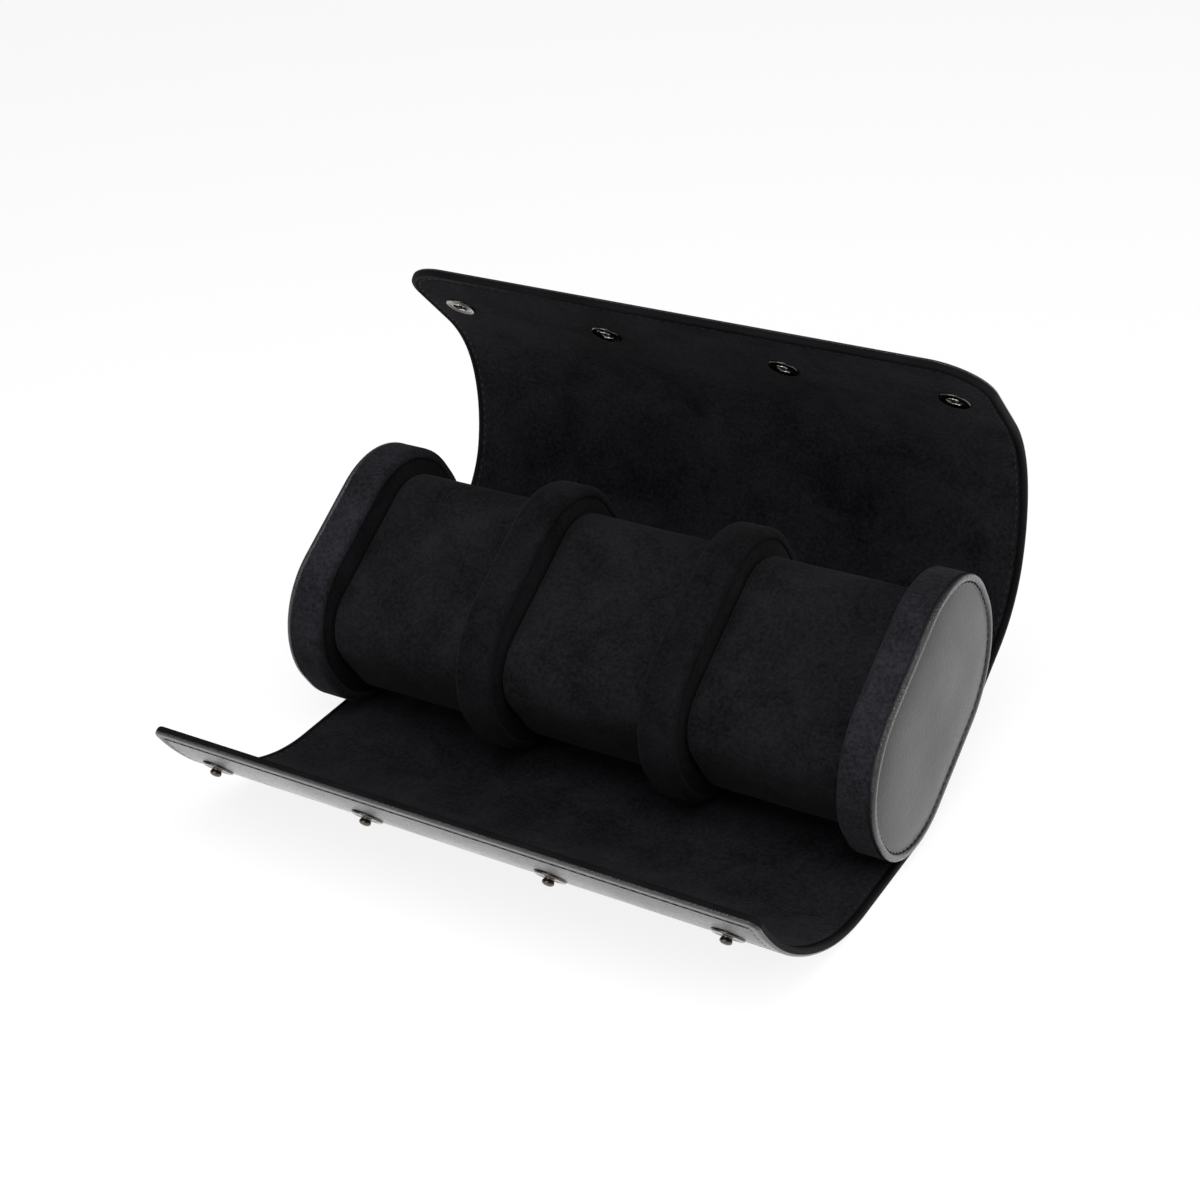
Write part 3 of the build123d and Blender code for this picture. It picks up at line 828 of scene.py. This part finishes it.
# Half profiles of the turned parts, radius and height over the sheet in millimetres
SOCKET = (
    (0, -1.7), (2.3, -1.7), (2.4, -0.2), (2.55, 0.45), (2.9, 0.62), (3.3, 0.5), (3.6, 0.32),
    (4.2, 0.34), (4.7, 0.6), (5.05, 0.7), (5.3, 0.55), (5.4, 0.25), (5.4, 0),
)
STUD = (
    (0, 3.1), (0.9, 3.05), (1.5, 2.8), (1.95, 2.35), (2.0, 1.9), (1.8, 1.5), (1.65, 1.1),
    (1.7, 0.75), (2.1, 0.5), (2.9, 0.36), (4.0, 0.36), (4.6, 0.6), (5.0, 0.72), (5.3, 0.55),
    (5.4, 0.25), (5.4, 0),
)
CAP = (
    (0, 1.1), (2.0, 1.06), (3.6, 0.95), (4.8, 0.78), (5.6, 0.55), (6.05, 0.3), (6.2, 0.1),
    (6.2, 0),
)
RIVET = (
    (0, 0.6), (1.2, 0.56), (1.5, 0.3), (2.6, 0.3), (3.0, 0.5), (4.1, 0.55), (4.45, 0.4), (4.5, 0),
)


def turned(profile, steps=40):
    """A solid of revolution about z from a half profile in millimetres."""
    bm = bmesh.new()
    chain = [bm.verts.new((radius / 1000, 0, height / 1000)) for radius, height in profile]
    edges = [bm.edges.new(pair) for pair in zip(chain[:-1], chain[1:])]
    bmesh.ops.spin(
        bm, geom=chain + edges, cent=(0, 0, 0), axis=(0, 0, 1), dvec=(0, 0, 0), angle=2 * pi,
        steps=steps, use_merge=True,
    )
    bmesh.ops.remove_doubles(bm, verts=bm.verts, dist=LEVEL)
    bmesh.ops.recalc_face_normals(bm, faces=bm.faces)
    return bm


def spring_pair():
    """The two spring wires across a socket's mouth."""
    wires = bmesh.new()
    for side in (-1, 1):
        spot = Matrix.Translation((side * SPRING_GAP, 0, SPRING_HEIGHT))
        bmesh.ops.create_cone(
            wires, segments=10, radius1=SPRING_RADIUS, radius2=SPRING_RADIUS, depth=SPRING_LENGTH,
            cap_ends=True, matrix=spot @ Matrix.Rotation(pi / 2, 4, "X"),
        )
    return wires


def snap_row(name, bm, station, depth, outwards, body, material, node=None):
    """Sets four of a snap's part on the sheet in a row, drawn upwards along z."""
    up = (on_sheet(0, station, SHEET) - on_sheet(0, station, 0)).normalized()
    up = up if outwards else -up
    seat = up.to_track_quat("Z", "X").to_matrix().to_4x4()
    part = to_mesh("part", bm)
    row = bmesh.new()
    for x in SNAP_PITCHES:
        placed = part.copy()
        placed.transform(Matrix.Translation(on_sheet(x, station, depth)) @ seat)
        row.from_mesh(placed)
    piece = make_piece(name, row, material)
    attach(piece, body)
    if node:
        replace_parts(piece, node)


BACK, FRONT = "back_flap_4", "front_flap_4"
snap_row("snap_socket_rings", turned(SOCKET), SOCKET_STATION, 0, False, BACK, dark_nickel,
         "snap_sockets")
snap_row("snap_springs", spring_pair(), SOCKET_STATION, 0, False, BACK, nickel)
snap_row("snap_cap_domes", turned(CAP), SOCKET_STATION, SHEET, True, BACK, nickel, "snap_caps")
snap_row("snap_stud_heads", turned(STUD), STUD_STATION, SHEET, True, FRONT, dark_nickel,
         "snap_studs")
snap_row("snap_rivet_plates", turned(RIVET), STUD_STATION, 0, False, FRONT, nickel, "snap_rivets")


# ---- Hidden cores ----
# Foam in the blocks, the cushions and the back flap, and a grey stiffener in the spine and the
# front flap. Their plain solids stay, each with its own finish.

# Pressed board is matte grey, and cut foam is matte and off-white.
grey_board = plain_finish("grey_board", "#6b6b6b", 0.8)
white_foam = plain_finish("foam", "#b8b2a6", 0.95, uneven=0.03)
for name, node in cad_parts.items():
    if name.endswith(("board", "foam", "core")):
        material = grey_board if name.endswith("board") else white_foam
        for material_slot in node.material_slots:
            material_slot.material = material


# ---- Floor, light and camera ----
# A white table under large, soft lights, seen from above the front right corner. The table and the
# sky glow for the camera and in mirrors, so they look white while the lamps stay low.

TABLE_HALF = 3
TABLE_GAP = 0.0002           # keeps the case's underside clear of the table
SEEN_SHARE = 0.8             # of the glow in what the camera sees. The rest takes the shadow
SEEN_GLOW = 1.05
MIRRORED_GLOW = 1.6
SKY_LIGHT = 0.3

# White laminate: matte, and just off white before its glow.
table_material, tree, shader, _ = new_material("white_table")
shader.inputs["Base Color"].default_value = srgb("#f8f8f8")
shader.inputs["Roughness"].default_value = 0.9
ray = add_node(tree, "ShaderNodeLightPath").outputs
glow = add_node(tree, "ShaderNodeMapRange", {
    "Value": ray["Is Glossy Ray"], "To Min": SEEN_GLOW, "To Max": MIRRORED_GLOW,
})
share = add_node(tree, "ShaderNodeMath", {
    0: ray["Is Camera Ray"], 1: SEEN_SHARE, 2: ray["Is Glossy Ray"],
}, operation="MULTIPLY_ADD")
lit = add_node(tree, "ShaderNodeEmission", {"Strength": glow.outputs["Result"]})
both = add_node(tree, "ShaderNodeMixShader", {
    0: share.outputs[0], 1: shader.outputs[0], 2: lit.outputs[0],
})
tree.links.new(both.outputs[0], tree.nodes["Material Output"].inputs["Surface"])

top = bmesh.new()
bmesh.ops.create_grid(top, x_segments=1, y_segments=1, size=TABLE_HALF)
table = to_scene("table_top", to_mesh("table_top", top))
table.data.materials.append(table_material)
table.location.z = -TABLE_GAP

world = bpy.data.worlds.new("studio")
world.use_nodes = True
bpy.context.scene.world = world
tree = world.node_tree
ray = add_node(tree, "ShaderNodeLightPath").outputs
strength = add_node(tree, "ShaderNodeMapRange", {
    "Value": ray["Is Camera Ray"], "To Min": SKY_LIGHT, "To Max": 1.0,
})
sky = tree.nodes["Background"]
sky.inputs["Color"].default_value = srgb("#ffffff")
tree.links.new(strength.outputs["Result"], sky.inputs["Strength"])


def softbox(name, spot, target, size, power):
    """A square area light that faces a target."""
    lamp = bpy.data.lights.new(name, "AREA")
    lamp.size = size
    lamp.energy = power
    light = to_scene(name, lamp)
    light.location = spot
    light.rotation_mode = "QUATERNION"
    light.rotation_quaternion = (Vector(target) - Vector(spot)).to_track_quat("-Z", "Y")


softbox("key_light", spot=(0.3, -0.5, 1.2), target=(0, 0, 0.05), size=0.9, power=13)
softbox("right_light", spot=(1.3, 0.2, 0.5), target=(0.1, 0, 0.05), size=0.8, power=8)
softbox("front_light", spot=(-0.3, -1.4, 0.4), target=(0, -0.1, 0.03), size=0.9, power=10)

CAMERA_SPOT = (0.33428, -0.52859, 0.43313)
CAMERA_TARGET = (-0.01162, 0.01431, 0.05725)
CAMERA_ROLL = radians(-3.45)
FOCAL_LENGTH = 66.25         # mm, on a 36 mm frame

camera = to_scene("camera", bpy.data.cameras.new("camera"))
camera.data.lens = FOCAL_LENGTH
camera.data.sensor_width = 36
camera.data.clip_start = 0.01
aim = Vector(CAMERA_TARGET) - Vector(CAMERA_SPOT)
camera.location = CAMERA_SPOT
camera.rotation_mode = "QUATERNION"
camera.rotation_quaternion = aim.to_track_quat("-Z", "Y") @ Quaternion((0, 0, 1), CAMERA_ROLL)
bpy.context.scene.camera = camera
bpy.context.scene.view_settings.view_transform = "Standard"

bpy.context.view_layer.update()
